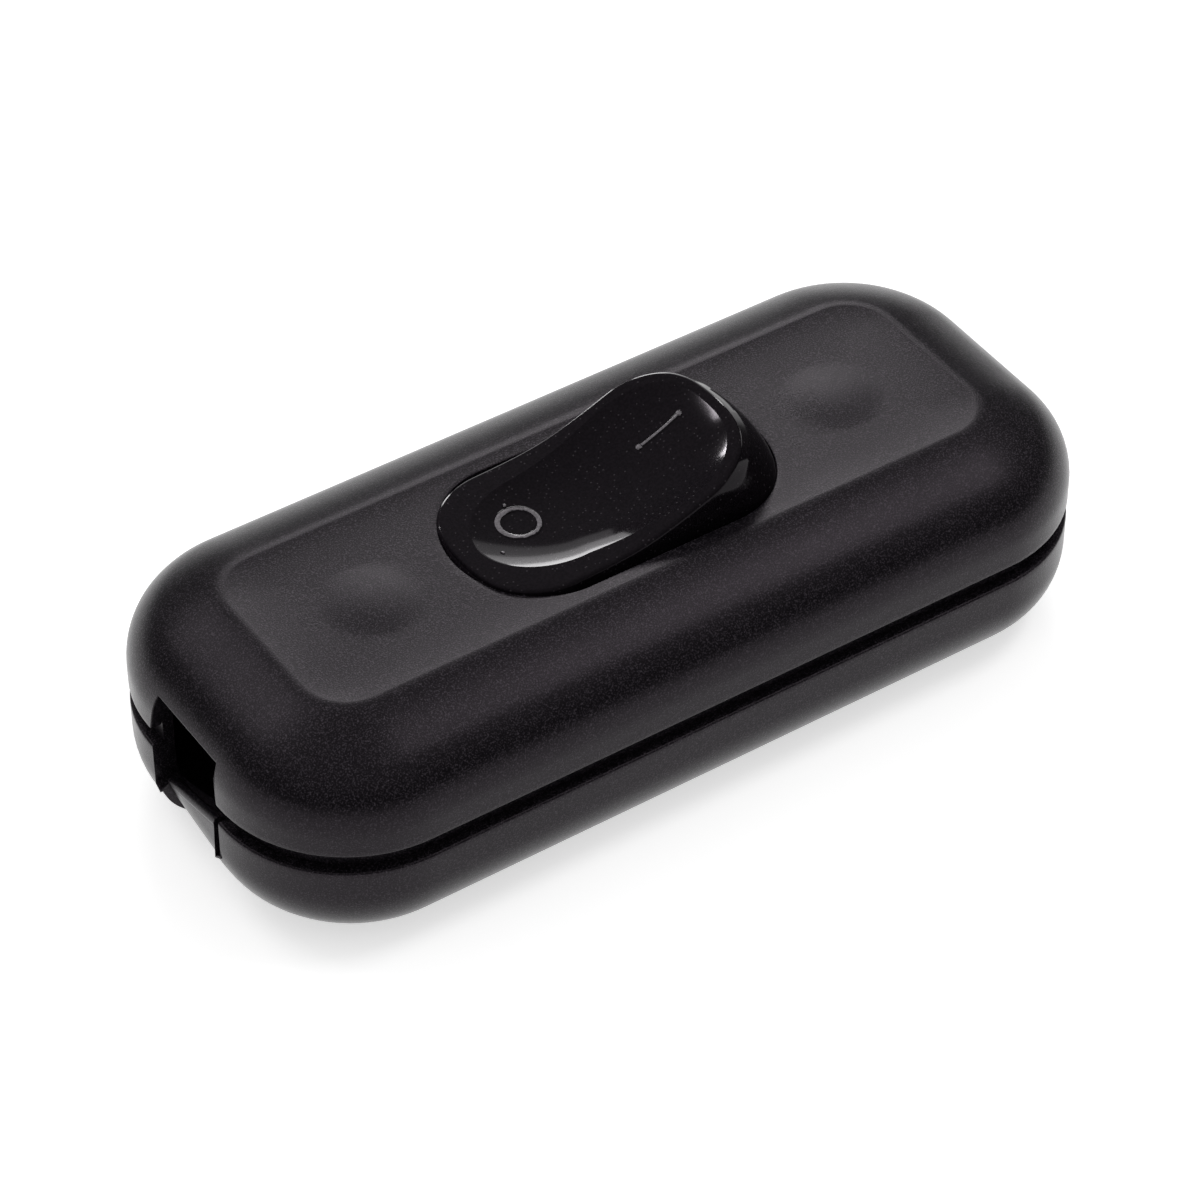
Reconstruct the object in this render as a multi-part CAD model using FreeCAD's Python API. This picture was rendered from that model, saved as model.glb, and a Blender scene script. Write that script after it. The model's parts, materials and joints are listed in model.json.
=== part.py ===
import FreeCAD, Part

# Two-pole inline cord switch: two moulded shells, a rocker and its contact mechanism.
# Millimetres. X runs along the cord, the rocker's off end is at -X, +Z is up,
# and the origin is the middle of the flat underside.

import math
import os

os.makedirs("parts", exist_ok=True)

V = FreeCAD.Vector
AXIS_Y = V(0, 1, 0)
AXIS_Z = V(0, 0, 1)

# Housing
length = 72.0
width = 31.6
height = 18.0
corner_r = 10.85
shoulder_r = 6.2
base_r = 5.9
wall = 1.8
floor_z = 2.0
lower_rim_z = height * 17 / 36
groove = 1.55
tongue_wall = 0.85
tongue_rise = 2.7
tongue_play = 0.1
sink_r = 3.2
sink_depth = 0.16

# Cord entry at each end
entry_top_w = 8.0
entry_rim_w = 9.2
entry_top_z = height * 3 / 4
saddle_lip_rise = 0.25
saddle_thick = 1.6
saddle_inset = 0.38
saddle_w = 7.7
saddle_slot = 0.65
saddle_slot_z = 4.5

# Rocker and its opening
opening_l = length * 11 / 30
opening_w = 15.0
opening_end_l = 6.7
rocker_gap = 0.25
rocker_w = 13.7
rocker_end_l = 5.35
rocker_rise = 1.0
rocker_slope = 0.2
rocker_bend = 3.3
rocker_tilt = 12.0
rocker_rim_r = 0.35
rocker_wall = 1.4
skirt_drop = 5.4
dish_inset = 1.5
dish_shift = 0.3
dish_depth = 0.55
pivot_depth = 5.6

# Raised on and off marks on the finger surface
mark_y = 1.3
mark_rise = 0.15
off_mark_from_end = 7.4
off_mark_r = 2.0
off_mark_line = 0.5
on_mark_from_end = 6.2
on_mark_l = 3.7
on_mark_w = 0.3
on_mark_end_r = 0.22

# Trunnions and the lugs that carry them
trunnion_r = 1.3
trunnion_play = 0.05
trunnion_l = 2.15
lug_gap = 0.85
lug_thick = 1.6
lug_half = 3.2

# Plungers and their springs
pole_y = 3.9
plunger_r = 1.45
plunger_play = 0.08
plunger_tip_z = 5.4
plunger_stand_out = 3.8
plunger_share = 6 / 11
bore_rise = 4.0
plunger_sleeve_wall = 0.8
spring_wire = 0.3
spring_turns = 6

# See-saw blades and contacts
blade_t = 0.5
blade_w = 3.0
blade_rise = 8.0
blade_nose_gap = 0.27
blade_arm_long = 7.8
blade_arm_short = 5.4
blade_wing_w = 1.2
blade_wing_l = 1.2
tip_at = 6.6
tip_r = 1.2
tip_t = 0.7
tip_rivet_r = 0.6
rivet_play = 0.05
contact_gap = 0.05

# Terminal strips, screws and clamp plates
strip_t = 0.8
strip_lift = 0.6
ear_t = 0.8
ear_gap = 0.25
ear_half = 1.6
notch_play = 0.1
terminal_x = length / 4
pad_l = 7.0
pad_edge_gap = 2.2
runner_w = 3.0
elbow_l = 3.5
collar_r = 2.3
collar_drop = 1.2
collar_play = 0.1
screw_r = 1.45
screw_play = 0.05
screw_head_r = 2.6
screw_head_h = 1.8
plate_hole_r = 1.6
plate_margin = 0.4
plate_t = 0.8
slot_w = 0.7
slot_deep = 0.8

# Housing screws and bosses
boss_x = length * 5 / 18
boss_split_rise = 0.5
boss_pad_gap = 1.6
foot_pad_gap = 0.7
boss_foot_z = 5.4
counterbore_pad_gap = 1.8
counterbore_z = 4.0
housing_head_play = 0.25
housing_screw_l = height * 19 / 36
clearance_r = 1.7

# Cord clamps
clamp_x = length * 2 / 5
clamp_w = 3.8
clamp_t = 1.8
clamp_end = 2.0
clamp_post_y = 6.4
clamp_post_r = 2.1
clamp_drop = 1.5
clamp_screw_r = 1.15
clamp_head_r = 2.0
clamp_head_h = 1.3
clamp_screw_l = 7.0
grip_rib_t = 1.2
grip_tooth = 0.4

# Ribs of the lower shell
divider_t = 1.0
divider_drop = 0.1
pocket_rib_t = 0.8
pocket_rib_top_z = 4.2
pocket_gap = 0.2

# Derived places and sizes
upper_rim_z = lower_rim_z + groove
saddle_top_z = lower_rim_z + saddle_lip_rise
boss_split_z = lower_rim_z + boss_split_rise
divider_top_z = lower_rim_z - divider_drop
clamp_z = entry_top_z - clamp_drop
ceiling_z = height - wall
pivot_z = height - pivot_depth
off_mark_x = opening_l / 2 - off_mark_from_end
on_mark_x = opening_l / 2 - on_mark_from_end
half_room = width / 2 - wall
pad_inner_y = half_room * 12 / 35
pad_w = half_room - pad_edge_gap - pad_inner_y
boss_r = pad_inner_y - boss_pad_gap
boss_foot_r = pad_inner_y - foot_pad_gap
counterbore_r = pad_inner_y - counterbore_pad_gap
housing_head_r = counterbore_r - housing_head_play
terminal_y = pad_inner_y + pad_w / 2
plate_l = pad_l - 2 * plate_margin
plate_w = pad_w - 2 * plate_margin
plunger_tip_drop = pivot_z - plunger_tip_z
plunger_sleeve_drop = plunger_tip_drop - plunger_stand_out
plunger_l = plunger_share * (plunger_tip_drop + bore_rise)
spring_l = plunger_tip_drop + bore_rise - plunger_l
strip_z = floor_z + strip_lift
strip_top_z = strip_z + strip_t
rocker_radius = math.hypot(opening_l / 2 - rocker_gap, pivot_depth)
skirt_z = pivot_z + pivot_depth + rocker_rise - skirt_drop
nose_low_z = pivot_z - (plunger_tip_drop - plunger_r) * math.cos(math.radians(rocker_tilt)) - plunger_r
blade_z = nose_low_z - blade_nose_gap - blade_t / 2


def block(x0, x1, y0, y1, z0, z1):
    return Part.makeBox(x1 - x0, y1 - y0, z1 - z0, V(x0, y0, z0))


def upright(x, y, r, z0, z1):
    return Part.makeCylinder(r, z1 - z0, V(x, y, z0), AXIS_Z)


def crosswise(x, z, r, y0, y1):
    return Part.makeCylinder(r, y1 - y0, V(x, y0, z), AXIS_Y)


def level_edges(shape, z):
    # edges that lie wholly in the plane at height z
    found = []
    for edge in shape.Edges:
        box = edge.BoundBox
        if abs(box.ZMin - z) < 1e-5 and abs(box.ZMax - z) < 1e-5:
            found.append(edge)
    return found


def rounded_block(inset, z0, z1, low_r, top_r):
    # the housing's plan, drawn in by inset, with rounded corners and rounded rims
    half_l = length / 2 - inset
    half_w = width / 2 - inset
    body = block(-half_l, half_l, -half_w, half_w, z0, z1)
    corners = [e for e in body.Edges if abs(e.BoundBox.ZLength - (z1 - z0)) < 1e-6]
    body = body.makeFillet(corner_r - inset, corners)
    if low_r > 0:
        body = body.makeFillet(low_r, level_edges(body, z0))
    if top_r > 0:
        body = body.makeFillet(top_r, level_edges(body, z1))
    return body


def half_ellipse(along, across):
    # points from one side of a slot round its end to the other, as distances along and across
    turns = [math.radians(15 * i - 90) for i in range(13)]
    return [(along * math.cos(t), across * math.sin(t)) for t in turns]


def smooth_edge(points):
    curve = Part.BSplineCurve()
    curve.interpolate(points)
    return curve.toShape()


def slot_prism(total_l, total_w, end_l, z0, z1):
    # two half-elliptic ends of length end_l joined by straight sides
    half_w = total_w / 2
    run = total_l / 2 - end_l
    ends = half_ellipse(end_l, half_w)
    right = smooth_edge([V(run + a, b, z0) for a, b in ends])
    left = smooth_edge([V(-run - a, -b, z0) for a, b in ends])
    near = Part.LineSegment(V(-run, -half_w, z0), V(run, -half_w, z0)).toShape()
    far = Part.LineSegment(V(run, half_w, z0), V(-run, half_w, z0)).toShape()
    face = Part.Face(Part.Wire([near, right, far, left]))
    return face.extrude(V(0, 0, z1 - z0))


def fuse(first, *others):
    return first.multiFuse(list(others)).removeSplitter()


def cut(body, *tools):
    for tool in tools:
        body = body.cut(tool)
    return body


def save(node, *solids):
    shape = solids[0] if len(solids) == 1 else Part.makeCompound(list(solids))
    shape.exportStep("parts/" + node + ".step")


# Housing


def cavity():
    return rounded_block(wall, floor_z, ceiling_z, base_r - wall, shoulder_r - wall)


def end_cutter(side, points, depth):
    # an outline in Y and Z, carried through an end wall and past its outer face
    start = side * (length / 2 - depth)
    outline = Part.makePolygon([V(start, y, z) for y, z in points + points[:1]])
    return Part.Face(outline).extrude(V(side * (depth + 1.0), 0, 0))


def entry_notch(side):
    # straight top edge, sides that widen slightly down to the rim
    low_z = upper_rim_z - 1
    spread = (entry_rim_w - entry_top_w) / 2 / (entry_top_z - upper_rim_z)
    top = entry_top_w / 2
    low = top + spread * (entry_top_z - low_z)
    outline = [(-low, low_z), (low, low_z), (top, entry_top_z), (-top, entry_top_z)]
    return end_cutter(side, outline, wall + shoulder_r)


def saddle_notch(side):
    # clears the saddle plate and leaves a pointed slot down each side of it
    inner = saddle_w / 2
    outer = inner + saddle_slot
    top_z = lower_rim_z + tongue_rise + 1
    outline = [(-outer, top_z), (-outer, saddle_slot_z + saddle_slot), (-inner, saddle_slot_z),
               (inner, saddle_slot_z), (outer, saddle_slot_z + saddle_slot), (outer, top_z)]
    return end_cutter(side, outline, wall + 0.5)


def saddle_relief(side):
    # takes the outer skin off the band that the saddle plate replaces
    half = saddle_w / 2
    outline = [(-half, -1), (half, -1), (half, saddle_top_z), (-half, saddle_top_z)]
    return end_cutter(side, outline, saddle_inset + saddle_thick / 2)


def rocker_opening():
    # a slot through the top, its ends undercut to clear the rocker's round ends
    slot = slot_prism(opening_l, opening_w, opening_end_l, ceiling_z - 1, height + 1)
    return fuse(slot, rocker_barrel(-rocker_gap))


def sink_mark(side):
    # the shallow dimple that the thick boss leaves in the top face
    ball_r = (sink_r ** 2 + sink_depth ** 2) / (2 * sink_depth)
    return Part.makeSphere(ball_r, V(side * boss_x, 0, height + ball_r - sink_depth))


def bearing_lug(side):
    # hangs from the ceiling and holds one trunnion in a slot open downwards
    inner = rocker_w / 2 + lug_gap
    y0 = inner if side > 0 else -inner - lug_thick
    y1 = y0 + lug_thick
    foot_z = pivot_z - trunnion_r - 0.5
    lug = block(-lug_half, lug_half, y0, y1, foot_z, ceiling_z + 0.5)
    slot_r = trunnion_r + trunnion_play
    slot = block(-slot_r, slot_r, y0 - 1, y1 + 1, foot_z - 1, pivot_z)
    return cut(lug, slot, crosswise(0, pivot_z, slot_r, y0 - 1, y1 + 1))


def upper_shell():
    outer = rounded_block(0, 0, height, base_r, shoulder_r)
    outer = outer.common(block(-length, length, -width, width, upper_rim_z, height + 1))
    shell = outer.cut(cavity())
    rabbet_top = upper_rim_z + tongue_rise - groove + tongue_play
    rabbet = rounded_block(wall - tongue_wall - tongue_play, upper_rim_z - 1, rabbet_top, 0, 0)
    shell = cut(shell, rabbet, rocker_opening())
    shell = fuse(shell, bearing_lug(1), bearing_lug(-1))
    for side in (-1, 1):
        boss = upright(side * boss_x, 0, boss_r, boss_split_z, ceiling_z + 0.5)
        shell = fuse(shell, boss)
        pilot_top = counterbore_z + housing_screw_l + 0.5
        pilot = upright(side * boss_x, 0, screw_r + screw_play, boss_split_z - 1, pilot_top)
        shell = cut(shell, pilot, entry_notch(side), sink_mark(side))
    return shell


def saddle_plate(side):
    # the wall under the cord, set back from the end face, with a half-round lip
    outer = side * (length / 2 - saddle_inset)
    inner = outer - side * saddle_thick
    x0, x1 = min(outer, inner), max(outer, inner)
    lip_r = saddle_thick / 2
    lip_z = saddle_top_z - lip_r
    plate = block(x0, x1, -saddle_w / 2, saddle_w / 2, 0, lip_z)
    lip = crosswise((x0 + x1) / 2, lip_z, lip_r, -saddle_w / 2, saddle_w / 2)
    plate = fuse(plate, lip)
    return plate.common(rounded_block(saddle_inset, 0, height, base_r, 0))


def clamp_post(side, hand):
    return upright(side * clamp_x, hand * clamp_post_y, clamp_post_r, floor_z - 0.5, clamp_z)


def clamp_pilot(side, hand):
    pilot_z = clamp_z + clamp_t - clamp_screw_l - 0.5
    return upright(side * clamp_x, hand * clamp_post_y, clamp_screw_r + screw_play, pilot_z, clamp_z + 1)


def grip_rib(side):
    # a wall across the housing under the cord, with a pointed ridge on top
    x0 = side * clamp_x - grip_rib_t / 2
    x1 = side * clamp_x + grip_rib_t / 2
    ridge_z = saddle_top_z - grip_tooth
    rib = block(x0, x1, -clamp_post_y, clamp_post_y, floor_z - 0.5, ridge_z)
    y0 = -entry_top_w / 2
    outline = [V(x0, y0, ridge_z), V((x0 + x1) / 2, y0, saddle_top_z), V(x1, y0, ridge_z), V(x0, y0, ridge_z)]
    ridge = Part.Face(Part.makePolygon(outline)).extrude(V(0, entry_top_w, 0))
    return fuse(rib, ridge)


def pocket_ribs(side, hand):
    # two low ribs that keep a terminal pad in place along the housing
    ribs = []
    pad_half = pad_l / 2
    y_in = pad_inner_y
    y_out = width / 2 - wall + 0.3
    for end in (-1, 1):
        x = side * terminal_x + end * (pad_half + pocket_gap + pocket_rib_t / 2)
        if end != side:
            y_near = terminal_y + pad_w / 2 - 2.0
        else:
            y_near = y_in
        y0, y1 = sorted((hand * y_near, hand * y_out))
        ribs.append(block(x - pocket_rib_t / 2, x + pocket_rib_t / 2, y0, y1, floor_z - 0.5, pocket_rib_top_z))
    return ribs


def strip_rests(hand):
    # low pads that carry the terminal strips clear of the floor
    rests = []
    y0, y1 = sorted((hand * (pole_y - runner_w / 2), hand * (pole_y + runner_w / 2)))
    rest_x = terminal_x - pad_l
    for x in (-rest_x, -tip_at, 0.0, rest_x):
        rests.append(block(x - 1.0, x + 1.0, y0, y1, floor_z - 0.5, strip_z))
    return rests


def lower_shell():
    outer = rounded_block(0, 0, height, base_r, 0)
    outer = outer.common(block(-length, length, -width, width, -1, lower_rim_z))
    tongue_z = lower_rim_z + tongue_rise
    tongue = rounded_block(wall - tongue_wall, lower_rim_z - 1, tongue_z, 0, 0)
    shell = fuse(outer, tongue)
    shell = shell.cut(cavity())
    divider_half = boss_x - boss_r + 0.5
    divider = block(-divider_half, divider_half, -divider_t / 2, divider_t / 2, floor_z - 0.5, divider_top_z)
    inside = [divider] + strip_rests(1) + strip_rests(-1)
    for side in (-1, 1):
        shell = cut(shell, saddle_notch(side), saddle_relief(side))
        shell = fuse(shell, saddle_plate(side))
        foot = upright(side * boss_x, 0, boss_foot_r, floor_z - 0.5, boss_foot_z)
        boss = upright(side * boss_x, 0, boss_r, floor_z - 0.5, boss_split_z)
        inside += [foot, boss, grip_rib(side), clamp_post(side, 1), clamp_post(side, -1)]
        inside += pocket_ribs(side, 1) + pocket_ribs(side, -1)
    bound = rounded_block(wall / 2, floor_z / 2, height, base_r - wall / 2, 0)
    shell = fuse(shell, *[piece.common(bound) for piece in inside])
    for side in (-1, 1):
        for hand in (-1, 1):
            pocket = upright(side * terminal_x, hand * terminal_y, collar_r + collar_play,
                             strip_z - collar_drop - collar_play, strip_z)
            shell = cut(shell, pocket, clamp_pilot(side, hand))
        shell = shell.cut(upright(side * boss_x, 0, counterbore_r, -1, counterbore_z))
        shell = shell.cut(upright(side * boss_x, 0, clearance_r, -1, boss_split_z + 1))
    return shell


# Rocker, drawn level about its pivot and then tilted to its off position


def tilted(shape):
    shape = shape.copy()
    shape.rotate(V(0, 0, pivot_z), AXIS_Y, -rocker_tilt)
    return shape


def rim_height(x):
    # a shallow V with a soft bend in the middle, above the pivot
    soft = math.sqrt(x * x + rocker_bend * rocker_bend) - rocker_bend
    return pivot_depth + rocker_rise + rocker_slope * soft


def tip_distance():
    # where the finger surface meets the round end, found by repeated substitution
    x = rocker_radius
    for turn in range(12):
        x = math.sqrt(rocker_radius ** 2 - rim_height(x) ** 2)
    return x


def dish_depth_at(x, y):
    # full depth along the middle, easing to nothing at the dish's slot-shaped edge
    r = rocker_w / 2 - dish_inset
    run = tip_distance() - dish_inset - r
    reach = math.hypot(max(abs(x - dish_shift) - run, 0.0), y) / r
    return dish_depth * max(0.0, 1.0 - reach ** 4)


def above_rocker():
    # everything above the finger surface, as one solid to cut away
    step = 0.6
    nx = int(math.ceil(rocker_radius / step)) + 1
    ny = int(math.ceil(rocker_w / 2 / step)) + 1
    rows = []
    for i in range(-nx, nx + 1):
        x = i * step
        row = []
        for j in range(-ny, ny + 1):
            y = j * step
            row.append(V(x, y, pivot_z + rim_height(x) - dish_depth_at(x, y)))
        rows.append(row)
    surface = Part.BSplineSurface()
    surface.interpolate(rows)
    return surface.toShape().extrude(V(0, 0, height))


def rocker_barrel(inset):
    # turned about the pivot, so its ends keep one gap to the opening as it swings
    ends = half_ellipse(rocker_end_l, rocker_w / 2 - inset)
    run = opening_l / 2 - rocker_gap - rocker_end_l
    rim = [V(0, b, pivot_z + math.hypot(run + a, pivot_depth) - inset) for a, b in ends]
    side_a = V(0, rim[0].y, pivot_z)
    side_b = V(0, rim[-1].y, pivot_z)
    edges = [Part.LineSegment(side_a, rim[0]).toShape(), smooth_edge(rim)]
    edges += [Part.LineSegment(rim[-1], side_b).toShape(), Part.LineSegment(side_b, side_a).toShape()]
    return Part.Face(Part.Wire(edges)).revolve(V(0, 0, pivot_z), AXIS_Y, 360)


def trunnion(hand):
    start = hand * (rocker_w / 2 - rocker_wall)
    end = hand * (rocker_w / 2 + trunnion_l)
    return crosswise(0, pivot_z, trunnion_r, min(start, end), max(start, end))


def cheek(hand):
    # a rounded tab under the side wall that carries the trunnion
    r = trunnion_r * 2
    y0, y1 = sorted((hand * (rocker_w / 2 - rocker_wall), hand * rocker_w / 2))
    plate = block(-r, r, y0, y1, pivot_z, pivot_z + pivot_depth - skirt_drop + 2.0)
    return fuse(plate, crosswise(0, pivot_z, r, y0, y1))


def marks(above):
    # a ring for off and a thin bar with dots at its ends for on, raised from the surface
    low_z = pivot_z + pivot_depth
    high_z = pivot_z + height
    ring = upright(-off_mark_x, mark_y, off_mark_r, low_z, high_z)
    ring = ring.cut(upright(-off_mark_x, mark_y, off_mark_r - off_mark_line, low_z - 1, high_z + 1))
    x0 = on_mark_x - on_mark_l / 2
    x1 = on_mark_x + on_mark_l / 2
    bar = block(x0, x1, mark_y - on_mark_w / 2, mark_y + on_mark_w / 2, low_z, high_z)
    bar = fuse(bar, upright(x0, mark_y, on_mark_end_r, low_z, high_z), upright(x1, mark_y, on_mark_end_r, low_z, high_z))
    lid = above.translated(V(0, 0, mark_rise))
    return [ring.cut(lid), bar.cut(lid)]


def rocker():
    reach = rocker_radius + 1
    body = rocker_barrel(0).common(block(-reach, reach, -rocker_w, rocker_w, skirt_z, pivot_z + reach))
    above = above_rocker()
    body = body.cut(above)
    top = max(body.Faces, key=lambda face: face.CenterOfMass.z)
    body = body.makeFillet(rocker_rim_r, top.Edges)
    body = fuse(body, *marks(above))
    # the underside is hollow and follows the finger surface
    inner_r = rocker_radius - rocker_wall
    roof_mid = pivot_z + pivot_depth + rocker_rise - dish_depth - rocker_wall
    roof_rise = rocker_slope * (inner_r - rocker_bend)
    outline = Part.makePolygon([
        V(-inner_r, -rocker_w, skirt_z - 1), V(inner_r, -rocker_w, skirt_z - 1),
        V(inner_r, -rocker_w, roof_mid + roof_rise), V(0, -rocker_w, roof_mid),
        V(-inner_r, -rocker_w, roof_mid + roof_rise), V(-inner_r, -rocker_w, skirt_z - 1),
    ])
    hollow = Part.Face(outline).extrude(V(0, 2 * rocker_w, 0))
    body = body.cut(hollow.common(rocker_barrel(rocker_wall)))
    bore_r = plunger_r + plunger_play
    sleeve_r = bore_r + plunger_sleeve_wall
    for hand in (-1, 1):
        sleeve = upright(0, hand * pole_y, sleeve_r, pivot_z - plunger_sleeve_drop, roof_mid + 0.5)
        body = fuse(body, cheek(hand), trunnion(hand), sleeve)
    for hand in (-1, 1):
        bore_top = pivot_z - plunger_tip_drop + plunger_l + spring_l
        body = body.cut(upright(0, hand * pole_y, bore_r, pivot_z - plunger_sleeve_drop - 1, bore_top))
    return tilted(body)


def plunger(hand):
    # a plain pin with a round nose
    tip_z = pivot_z - plunger_tip_drop
    nose_z = tip_z + plunger_r
    pin = upright(0, hand * pole_y, plunger_r, nose_z, tip_z + plunger_l)
    pin = pin.makeChamfer(0.2, level_edges(pin, tip_z + plunger_l))
    nose = Part.makeSphere(plunger_r, V(0, hand * pole_y, nose_z))
    return tilted(fuse(pin, nose))


def spring(hand):
    # a helix whose ends stay inside the bore
    coil_r = plunger_r - spring_wire
    start_z = pivot_z - plunger_tip_drop + plunger_l + spring_wire / 2
    travel = spring_l - spring_wire
    helix = Part.makeHelix(travel / spring_turns, travel, coil_r)
    section = Part.Wire(Part.Circle(V(coil_r, 0, 0), AXIS_Y, spring_wire / 2).toShape())
    coil = Part.Wire(helix.Edges).makePipeShell([section], True, True)
    coil.translate(V(0, hand * pole_y, start_z))
    return tilted(coil)


# Contacts. The blade is drawn with its long arm closed and level, then swung open


def opened(shape):
    shape = shape.copy()
    shape.rotate(V(0, 0, blade_z), AXIS_Y, 2 * blade_rise)
    return shape


def blade(hand):
    # a strip bent to a shallow V at the fulcrum, with a wing each side
    y0 = hand * pole_y - blade_w / 2
    half = blade_t / 2
    long_arm = block(-blade_arm_long, 0, y0, y0 + blade_w, blade_z - half, blade_z + half)
    short_arm = block(0, blade_arm_short, y0, y0 + blade_w, blade_z - half, blade_z + half)
    short_arm.rotate(V(0, 0, blade_z), AXIS_Y, -2 * blade_rise)
    bend = crosswise(0, blade_z, half, y0, y0 + blade_w)
    wing_half = blade_w / 2 + blade_wing_l
    wings = block(-blade_wing_w / 2, blade_wing_w / 2, hand * pole_y - wing_half, hand * pole_y + wing_half,
                  blade_z - half, blade_z + half)
    wings.rotate(V(0, 0, blade_z), AXIS_Y, -blade_rise)
    body = fuse(long_arm, short_arm, bend, wings)
    hole = upright(-tip_at, hand * pole_y, tip_rivet_r + rivet_play, blade_z - 1, blade_z + 1)
    return opened(body.cut(hole))


def moving_contact(hand):
    under = blade_z - blade_t / 2
    button = upright(-tip_at, hand * pole_y, tip_r, under - tip_t, under)
    button = button.makeChamfer(0.15, level_edges(button, under - tip_t))
    rivet = upright(-tip_at, hand * pole_y, tip_rivet_r, under, under + blade_t + 0.2)
    return opened(fuse(button, rivet))


def terminal_strip(side, hand, x_end, end_half):
    # a flat strip from x_end out to the screw pad, with a threaded collar pressed down
    y0, y1 = pole_y - runner_w / 2, pole_y + runner_w / 2
    elbow_out = terminal_x - pad_l / 2 + 0.5
    elbow_in = elbow_out - elbow_l
    pieces = [
        (x_end - end_half, x_end + end_half, y0, y1),
        (x_end, elbow_out, y0, y1),
        (elbow_in, elbow_out, y0, terminal_y + runner_w / 2),
        (terminal_x - pad_l / 2, terminal_x + pad_l / 2, pad_inner_y, pad_inner_y + pad_w),
    ]
    flats = []
    for xa, xb, ya, yb in pieces:
        if side < 0:
            xa, xb = -xb, -xa
        if hand < 0:
            ya, yb = -yb, -ya
        flats.append(block(xa, xb, ya, yb, strip_z, strip_top_z))
    strip = fuse(flats[0], *flats[1:])
    x, y = side * terminal_x, hand * terminal_y
    collar = upright(x, y, collar_r, strip_z - collar_drop, strip_z)
    strip = fuse(strip, collar)
    return strip.cut(upright(x, y, screw_r + screw_play, strip_z - collar_drop - 1, strip_top_z + 1))


def fulcrum_terminal(hand):
    # carries the blade's wings in two notched ears
    strip = terminal_strip(1, hand, 0.0, ear_half)
    inner = blade_w / 2 + ear_gap
    for end in (-1, 1):
        y0, y1 = sorted((hand * pole_y + end * inner, hand * pole_y + end * (inner + ear_t)))
        foot = block(-ear_half, ear_half, min(y0, hand * pole_y), max(y1, hand * pole_y), strip_z, strip_top_z)
        ear = block(-ear_half, ear_half, y0, y1, strip_z, blade_z + blade_t / 2)
        notch_r = math.hypot(blade_wing_w / 2, blade_t / 2) + notch_play
        ear = ear.cut(crosswise(0, blade_z, notch_r, y0 - 1, y1 + 1))
        strip = fuse(strip, foot, ear)
    return strip


def fixed_terminal(hand):
    strip = terminal_strip(-1, hand, tip_at, tip_r + 0.6)
    return strip.cut(upright(-tip_at, hand * pole_y, tip_rivet_r + rivet_play, strip_z - 1, strip_top_z + 1))


def fixed_contact(hand):
    top = blade_z - blade_t / 2 - tip_t - contact_gap
    button = upright(-tip_at, hand * pole_y, tip_r, strip_top_z, top)
    rivet = upright(-tip_at, hand * pole_y, tip_rivet_r, strip_z, strip_top_z)
    return fuse(button, rivet)


# Fasteners and clamps


def slotted_screw(x, y, shank_r, head_r, head_h, seat_z, shank_l, up):
    # a cheese-head screw with its head on seat_z, pointing down, or up where up is -1
    head = Part.makeCylinder(head_r, head_h, V(x, y, seat_z), V(0, 0, up))
    top_z = seat_z + up * head_h
    head = head.makeFillet(0.4, level_edges(head, top_z))
    shank = Part.makeCylinder(shank_r, shank_l, V(x, y, seat_z), V(0, 0, -up))
    z0, z1 = sorted((top_z - up * slot_deep, top_z + up))
    slot = block(x - head_r - 1, x + head_r + 1, y - slot_w / 2, y + slot_w / 2, z0, z1)
    return fuse(head, shank).cut(slot)


def wire_clamp_plate(side, hand):
    x, y = side * terminal_x, hand * terminal_y
    half_l, half_w = plate_l / 2, plate_w / 2
    plate = block(x - half_l, x + half_l, y - half_w, y + half_w, strip_top_z, strip_top_z + plate_t)
    corners = [e for e in plate.Edges if abs(e.BoundBox.ZLength - plate_t) < 1e-6]
    plate = plate.makeFillet(0.8, corners)
    return plate.cut(upright(x, y, plate_hole_r, strip_top_z - 1, strip_top_z + plate_t + 1))


def terminal_screw(side, hand):
    seat = strip_top_z + plate_t
    shank = seat - (strip_z - collar_drop) - 0.1
    return slotted_screw(side * terminal_x, hand * terminal_y, screw_r, screw_head_r, screw_head_h, seat, shank, 1)


def cord_clamp(side):
    # a bar with round ends across the cord, with a blunt tooth underneath
    x = side * clamp_x
    half = clamp_post_y + clamp_end
    bar = slot_prism(2 * half, clamp_w, clamp_w / 2, clamp_z, clamp_z + clamp_t)
    bar.rotate(V(0, 0, 0), AXIS_Z, 90)
    bar.translate(V(x, 0, 0))
    tooth_half = entry_top_w / 2 - 0.5
    tooth = crosswise(x, clamp_z + grip_tooth / 2, grip_tooth, -tooth_half, tooth_half)
    bar = fuse(bar, tooth)
    for hand in (-1, 1):
        bar = bar.cut(upright(x, hand * clamp_post_y, clamp_screw_r + 0.2, clamp_z - 1, clamp_z + clamp_t + 1))
    return bar


def clamp_screw(side, hand):
    return slotted_screw(side * clamp_x, hand * clamp_post_y, clamp_screw_r, clamp_head_r, clamp_head_h,
                         clamp_z + clamp_t, clamp_screw_l, 1)


def housing_screw(side):
    return slotted_screw(side * boss_x, 0, screw_r, housing_head_r, screw_head_h, counterbore_z,
                         housing_screw_l, -1)


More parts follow.
